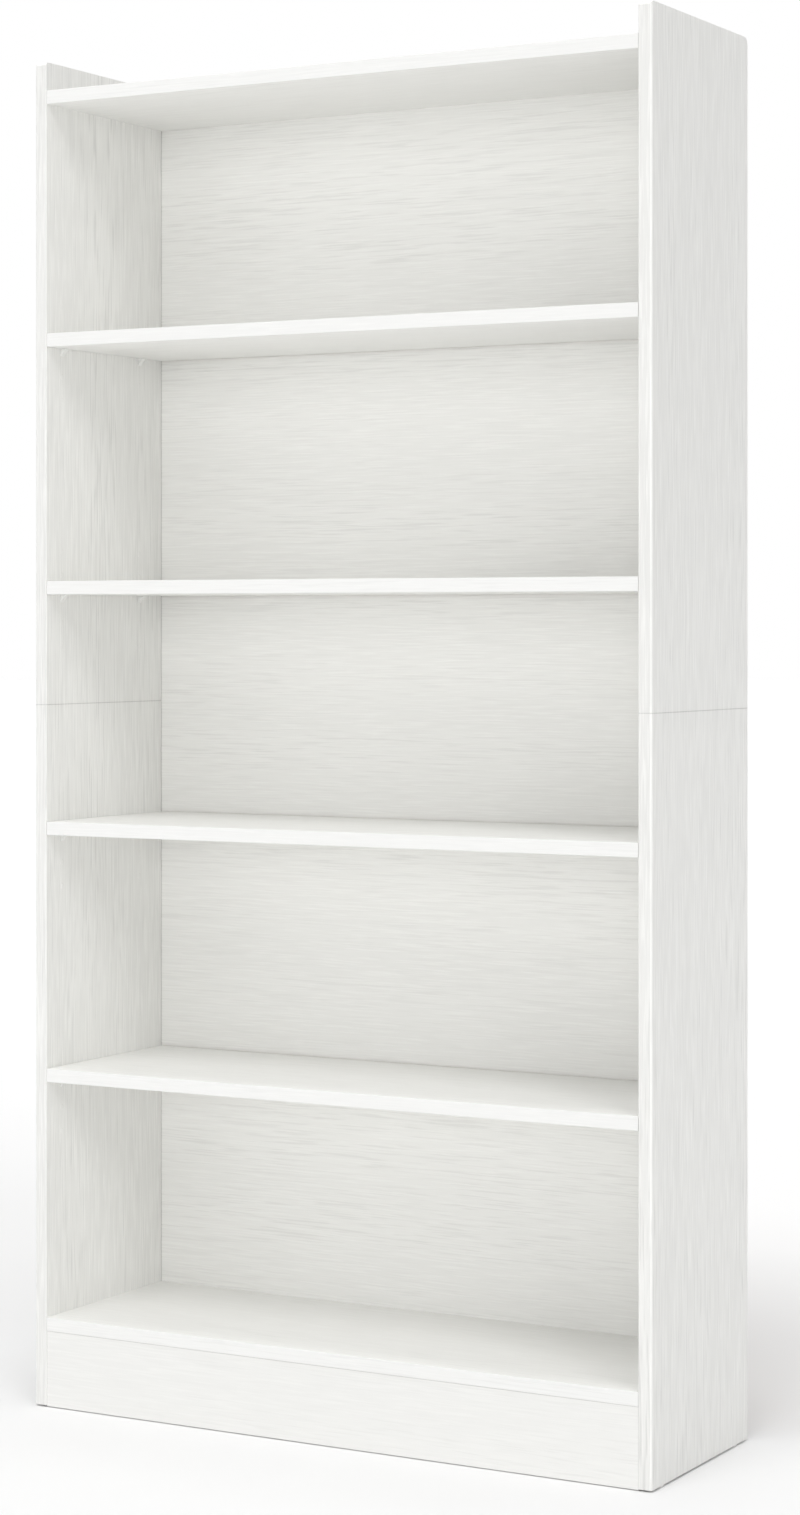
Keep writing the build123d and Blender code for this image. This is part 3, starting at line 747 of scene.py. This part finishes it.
class BOOKCASE_OT_shelf_supports(Operator):
    """Build the moulded supports that the shelves rest on"""
    bl_idname = "bookcase.shelf_supports"
    bl_label = "Shelf Supports"

    def execute(self, context):
        finishes = context.scene.bookcase_finishes
        fittings = context.scene.bookcase_fittings
        nylon = plastic_finish("support_nylon", finishes.nylon_white, 0.3, 500.0)
        for body in frame["bodies"]:
            if body.startswith("support_"):
                part = self.support(body, fittings.support_edge)
                place_piece(f"{body}_moulding", part, nylon, body, [body])
        return {"FINISHED"}

    @staticmethod
    def support(node, edge):
        """The wedge and its stud. The wedge is an outline carried across its width: it has two
        thin ends, and its long face is hollow, which is one wide curve at a corner pushed in
        from the middle of the straight line between the ends."""
        low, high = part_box(node)
        left = low.x + high.x < 0
        reach = abs(low.x + high.x) / 2 - (high.x - low.x) / 2
        stud_end = reach + (high.x - low.x)
        wall, top, bottom = INSIDE, high.z, low.z
        end = 1.6 * MM
        ledge = np.array([reach, top - end])
        foot = np.array([wall - end, bottom])
        chord = foot - ledge
        inward = np.array([-chord[1], chord[0]]) / np.hypot(*chord)
        pushed = (ledge + foot) / 2 + 2.2 * MM * inward
        corners = [(wall, bottom), (wall, top), (reach, top), ledge, pushed, foot]
        radii = [edge, edge, 0.5 * MM, 0.5 * MM, 12 * MM, 0.5 * MM]
        wedge = rounded_slab(*rounded_outline(corners, radii, 8), low.y, high.y, edge)
        stud_r = 2.45 * MM
        waist = stud_r * 0.93
        stud_level = top - 6 * MM
        length = stud_end - wall
        profile = [(-0.9 * MM, 0), (-0.9 * MM, stud_r), (0.3 * MM, stud_r), (0.5 * MM, waist),
                   (length * 0.5, waist), (length * 0.5 + 0.3 * MM, stud_r),
                   (length - 0.9 * MM, stud_r), (length - 0.3 * MM, stud_r * 0.8),
                   (length, stud_r * 0.55), (length, 0)]
        place = (wall, (low.y + high.y) / 2, stud_level)
        parts = [wedge, repeated(turned(profile, (1, 0, 0), 24), [place])]
        return [mirrored(part) for part in parts] if left else parts


class BOOKCASE_OT_hole_caps(Operator):
    """Build the low caps that close the spare support holes"""
    bl_idname = "bookcase.hole_caps"
    bl_label = "Hole Caps"

    def execute(self, context):
        finishes = context.scene.bookcase_finishes
        parts = []
        for hand, lows, highs in split_by_hand(*solid_boxes("hole_caps")):
            size = (highs - lows)[0]
            head = INSIDE - np.abs(lows + highs)[0, 0] / 2 + size[0] / 2
            cap = self.cap((hand, 0, 0), size[2] / 2, head, size[0] - head)
            parts.append(repeated(cap, middles_at(lows, highs, 0, hand * INSIDE)))
        finish = foil_finish("hole_cap_plastic", 2, finishes.foil_white, finishes)
        place_piece("spare_hole_caps", parts, finish, "carcass", ["hole_caps"])
        return {"FINISHED"}

    @staticmethod
    def cap(direction, radius, head, stem):
        """A shallow dome with a soft rim, on a stem with a blunt end."""
        dome = [(-head, radius * 0.45), (-head * 0.92, radius * 0.75), (-head * 0.6, radius * 0.93),
                (-head * 0.2, radius), (0, radius)]
        stem_r = radius * 0.6
        post = [(0, stem_r), (stem * 0.85, stem_r), (stem, stem_r * 0.8)]
        return turned([(-head, 0)] + dome + post + [(stem, 0)], direction, 20)


class BOOKCASE_OT_cam_joints(Operator):
    """Give the cam locks their cast finish, and build their bolts and their cover caps"""
    bl_idname = "bookcase.cam_joints"
    bl_label = "Cam Joints"

    def execute(self, context):
        finishes = context.scene.bookcase_finishes
        fittings = context.scene.bookcase_fittings
        zinc = metal_finish("cast_zinc", finishes.zinc_grey, 0.42,
                            shade(finishes.zinc_grey, 0.85), 900.0)
        dress(["cam_locks"], zinc)
        bolts = []
        for hand, lows, highs in split_by_hand(*solid_boxes("cam_bolts")):
            far = abs(highs[0, 0] if hand > 0 else lows[0, 0]) - INSIDE
            near = far - (highs - lows)[0, 0]
            bolt = self.bolt((hand, 0, 0), near, far, fittings)
            bolts.append(repeated(bolt, middles_at(lows, highs, 0, hand * INSIDE)))
        place_piece("cam_bolt_set", bolts, plated("bolt_steel", finishes, (90.0, 900.0, 900.0)),
                    "carcass", ["cam_bolts"])
        lows, highs = solid_boxes("cam_caps")
        caps = [self.cap(low, high) for low, high in zip(lows, highs)]
        place_piece("cam_cover_caps", caps,
                    plastic_finish("cap_plastic", finishes.plastic_white, 0.45), "carcass",
                    ["cam_caps"])
        return {"FINISHED"}

    @staticmethod
    def bolt(direction, near, far, fittings):
        """A ball head, a thin neck, a shank, a collar at the board's end, and a thread."""
        ball, neck, shank, collar, thread = 3.4 * MM, 1.9 * MM, 2.6 * MM, 3.8 * MM, 3.0 * MM
        centre = near + ball
        head = arc((centre, 0), ball, 168, 35, 9)
        stem = [(centre + ball * 0.95, neck), (centre + 7 * MM, neck), (centre + 8 * MM, shank)]
        to_collar = [(-3.1 * MM, shank), (-3.0 * MM, collar - 0.3 * MM), (-2.7 * MM, collar),
                     (-0.1 * MM, collar), (0, collar - 0.2 * MM), (0, thread)]
        rows = np.arange(0.2 * MM, far - 1.2 * MM, fittings.bolt_pitch / 7)
        screw = [(s, thread) for s in rows]
        tip = [(far - MM, thread * 0.75), (far, thread * 0.5), (far, 0)]
        relief = threaded(0.6 * MM, far - 1.2 * MM, fittings.bolt_pitch, fittings.bolt_thread_depth)
        profile = [(near, 0)] + head + stem + to_collar + screw + tip
        return turned(profile, direction, 36, relief)

    @staticmethod
    def cap(low, high):
        """A thin disc with a soft rim and a shallow dished face, on the board's surface."""
        size = high - low
        axis = int(np.argmin(size))
        middle = (low + high) / 2
        facing = -1 if axis == 2 and middle[2] < SEAM else 1
        direction = np.zeros(3)
        direction[axis] = facing
        radius, thick = size.max() / 2, size[axis]
        start = middle - direction * thick / 2
        rim = arc((thick * 0.45, radius - thick * 0.55), thick * 0.55, 90, 0, 6)
        dish = [(thick * (0.8 + 0.2 * share ** 2), (radius - thick) * share)
                for share in np.linspace(0.9, 0.15, 5)]
        profile = [(0, 0), (0, radius)] + rim + dish + [(thick * 0.8, 0)]
        return repeated(turned(profile, direction, 48), [start])


class BOOKCASE_OT_dowels(Operator):
    """Build the fluted beech dowels"""
    bl_idname = "bookcase.dowels"
    bl_label = "Dowels"

    def execute(self, context):
        finishes = context.scene.bookcase_finishes
        fittings = context.scene.bookcase_fittings
        lying = beech_finish("beech_lying", 0, finishes.beech_tan)
        upright = beech_finish("beech_upright", 2, finishes.beech_tan)
        for node, name, finish in (("board_dowels", "fluted_board_dowels", lying),
                                   ("plinth_top_dowels", "fluted_plinth_dowels", upright),
                                   ("seam_dowels", "fluted_seam_dowels", upright)):
            lows, highs = solid_boxes(node)
            size = (highs - lows)[0]
            axis = int(np.argmax(size))
            direction = np.eye(3)[axis]
            dowel = self.dowel(direction, size[axis] / 2, size.min() / 2, fittings)
            place_piece(name, [repeated(dowel, (lows + highs) / 2)], finish, "carcass",
                        [node])
        return {"FINISHED"}

    @staticmethod
    def dowel(direction, half_length, radius, fittings):
        """A fluted pin with chamfered ends."""
        chamfer = 1.2 * MM
        profile = [(-half_length, 0), (-half_length, radius - chamfer * 0.8),
                   (-half_length + chamfer, radius), (half_length - chamfer, radius),
                   (half_length, radius - chamfer * 0.8), (half_length, 0)]
        relief = fluted(fittings.flute_count, fittings.flute_depth, half_length, chamfer)
        return turned(profile, direction, 4 * fittings.flute_count, relief)


class BOOKCASE_OT_seam_plates(Operator):
    """Give the seam plates their plated finish, and build their screws"""
    bl_idname = "bookcase.seam_plates"
    bl_label = "Seam Plates"

    def execute(self, context):
        finishes = context.scene.bookcase_finishes
        steel = plated("plate_steel", finishes, (700.0, 700.0, 35.0))
        dress(["seam_plates"], steel)
        place_screws("seam_plate_screw_set", "seam_plate_screws", 1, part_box("seam_plates")[1].y,
                     plated("plate_screw_steel", finishes), context.scene.bookcase_fittings)
        return {"FINISHED"}


class BOOKCASE_OT_wall_brackets(Operator):
    """Give the wall brackets their plated finish, and build their screws"""
    bl_idname = "bookcase.wall_brackets"
    bl_label = "Wall Brackets"

    def execute(self, context):
        finishes = context.scene.bookcase_finishes
        dress(["wall_bracket_left", "wall_bracket_right"],
              plated("bracket_steel", finishes, (35.0, 700.0, 700.0)))
        head_t = 1.4 * MM
        place_screws("wall_bracket_screw_set", "wall_bracket_screws", 2,
                     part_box("wall_bracket_screws")[1].z - head_t,
                     plated("bracket_screw_steel", finishes), context.scene.bookcase_fittings)
        return {"FINISHED"}


class BOOKCASE_OT_nails(Operator):
    """Build the nails that hold the back to the fixed boards"""
    bl_idname = "bookcase.nails"
    bl_label = "Back Nails"

    def execute(self, context):
        lows, highs = solid_boxes("back_nails")
        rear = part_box("back_panel_1")[1].y
        part = nail((0, -1, 0), 0.8 * MM, rear - lows[0, 1], (highs - lows)[0, 0] / 2,
                    highs[0, 1] - rear)
        place_piece("back_nail_set", [repeated(part, middles_at(lows, highs, 1, rear))],
                    plated("nail_steel", context.scene.bookcase_finishes), "carcass",
                    ["back_nails"])
        return {"FINISHED"}


class BOOKCASE_OT_glides(Operator):
    """Build the nail-on glides under the side panels"""
    bl_idname = "bookcase.glides"
    bl_label = "Glides"

    def execute(self, context):
        finishes = context.scene.bookcase_finishes
        lows, highs = solid_boxes("glides")
        nails_low, nails_high = solid_boxes("glide_nails")
        head_r = (nails_high - nails_low)[0, 0] / 2
        glide = self.glide((highs - lows)[0, 0] / 2, highs[0, 2], head_r + 0.4 * MM)
        place_piece("glide_discs", [repeated(glide, middles_at(lows, highs, 2, 0))],
                    plastic_finish("glide_plastic", finishes.plastic_white, 0.4), "carcass",
                    ["glides"])
        head_t = 0.8 * MM
        start = nails_low[0, 2] + head_t
        part = nail((0, 0, 1), 1.0 * MM, nails_high[0, 2] - start, head_r, head_t)
        places = middles_at(nails_low, nails_high, 2, start)
        place_piece("glide_nail_set", [repeated(part, places)],
                    plated("glide_nail_steel", finishes), "carcass",
                    ["glide_nails"])
        return {"FINISHED"}

    @staticmethod
    def glide(radius, thick, hollow_r):
        """A disc with a rounded foot and a hollow for its nail's head."""
        hollow = 1.4 * MM
        foot = arc((MM, radius - MM), MM, 180, 90, 6)
        profile = [(hollow, 0), (hollow, hollow_r), (0.2 * MM, hollow_r), (0, hollow_r + 0.2 * MM)]
        return turned(profile + foot + [(thick, radius), (thick, 0)], (0, 0, 1), 40)


class BOOKCASE_OT_studio(Operator):
    """Lay the floor, and set the lights and the camera"""
    bl_idname = "bookcase.studio"
    bl_label = "Studio"

    def execute(self, context):
        studio = context.scene.bookcase_studio
        self.floor(context, studio)
        self.lights(context, studio)
        self.camera(context, studio)
        context.scene.view_settings.view_transform = "Standard"
        return {"FINISHED"}

    @staticmethod
    def floor(context, studio):
        """A flat disc: rings of points at growing radii round a middle point."""
        radii = studio.floor_size * np.array([0.05, 0.3, 1.0])
        sides = 64
        angles = np.linspace(0, 2 * np.pi, sides, endpoint=False)
        flat = radii[:, None, None] * np.stack([np.cos(angles), np.sin(angles)], -1)[None]
        rings = np.concatenate([flat, np.zeros((len(radii), sides, 1))], -1).reshape(-1, 3)
        points = np.concatenate([rings, np.zeros((1, 3))])
        column = np.arange(sides)
        fan = np.stack((np.full(sides, len(rings)), column, (column + 1) % sides), -1)
        faces = ring_quads(len(radii), sides)[:, ::-1].tolist() + fan.tolist()
        mesh = bpy.data.meshes.new("studio_floor")
        mesh.from_pydata(points.tolist(), [], faces)
        mesh.materials.append(floor_finish(studio.floor_white))
        floor = bpy.data.objects.new("studio_floor", mesh)
        context.scene.collection.objects.link(floor)

    @staticmethod
    def lights(context, studio):
        """A plain white backdrop, light from all round that grows towards straight above, and
        five soft suns."""
        world = bpy.data.worlds.new("studio_surround")
        world.use_nodes = True
        nodes, links = world.node_tree.nodes, world.node_tree.links
        background = nodes["Background"]
        background.inputs["Color"].default_value = (1, 1, 1, 1)
        backdrop = nodes.new("ShaderNodeBackground")
        backdrop.inputs["Color"].default_value = (1, 1, 1, 1)
        seen = nodes.new("ShaderNodeLightPath").outputs["Is Camera Ray"]
        either = nodes.new("ShaderNodeMixShader")
        for socket, source in enumerate((seen, background.outputs[0], backdrop.outputs[0])):
            links.new(source, either.inputs[socket])
        links.new(either.outputs[0], nodes["World Output"].inputs["Surface"])
        direction = nodes.new("ShaderNodeTexCoord").outputs["Generated"]
        split = nodes.new("ShaderNodeSeparateXYZ")
        links.new(direction, split.inputs[0])
        rise = nodes.new("ShaderNodeMapRange")
        links.new(split.outputs["Z"], rise.inputs["Value"])
        rise.inputs["To Max"].default_value = studio.overhead
        links.new(rise.outputs["Result"], background.inputs["Strength"])
        context.scene.world = world
        for name, width in SUN_WIDTHS.items():
            soft_sun(context, f"{name}_light", getattr(studio, f"{name}_from"),
                     getattr(studio, f"{name}_strength"), width)

    @staticmethod
    def camera(context, studio):
        """A level camera whose uprights stay upright, shifted as its framing needs."""
        lens = bpy.data.cameras.new("camera")
        lens.lens = studio.lens
        lens.sensor_width = 36
        lens.shift_x, lens.shift_y = studio.shift
        lens.clip_end = 500
        camera = bpy.data.objects.new("camera", lens)
        camera.location = studio.camera_place
        camera.rotation_euler = (math.radians(90), 0, studio.camera_turn)
        context.scene.collection.objects.link(camera)
        context.scene.camera = camera


class BOOKCASE_PT_bookcase(Panel):
    """The bookcase's settings, and a button for each step"""
    bl_idname = "BOOKCASE_PT_bookcase"
    bl_label = "Bookcase"
    bl_space_type = "VIEW_3D"
    bl_region_type = "UI"
    bl_category = "Bookcase"

    def draw(self, context):
        for name, group in GROUPS.items():
            box = self.layout.box()
            for setting in group.__annotations__:
                box.prop(getattr(context.scene, name), setting)
        for step in STEPS:
            self.layout.operator(step.bl_idname)


STEPS = (
    BOOKCASE_OT_side_panels,
    BOOKCASE_OT_boards,
    BOOKCASE_OT_back,
    BOOKCASE_OT_shelf_supports,
    BOOKCASE_OT_hole_caps,
    BOOKCASE_OT_cam_joints,
    BOOKCASE_OT_dowels,
    BOOKCASE_OT_seam_plates,
    BOOKCASE_OT_wall_brackets,
    BOOKCASE_OT_nails,
    BOOKCASE_OT_glides,
    BOOKCASE_OT_studio,
)
GROUPS = {
    "bookcase_finishes": BookcaseFinishes,
    "bookcase_fittings": BookcaseFittings,
    "bookcase_studio": BookcaseStudio,
}
CLASSES = (*GROUPS.values(), *STEPS, BOOKCASE_PT_bookcase)


def register():
    for kind in CLASSES:
        bpy.utils.register_class(kind)
    for name, group in GROUPS.items():
        setattr(bpy.types.Scene, name, PointerProperty(type=group))


def unregister():
    for name in GROUPS:
        delattr(bpy.types.Scene, name)
    for kind in reversed(CLASSES):
        bpy.utils.unregister_class(kind)


def main():
    register()
    for step in STEPS:
        getattr(bpy.ops.bookcase, step.bl_idname.partition(".")[2])()


if __name__ == "__main__":
    main()
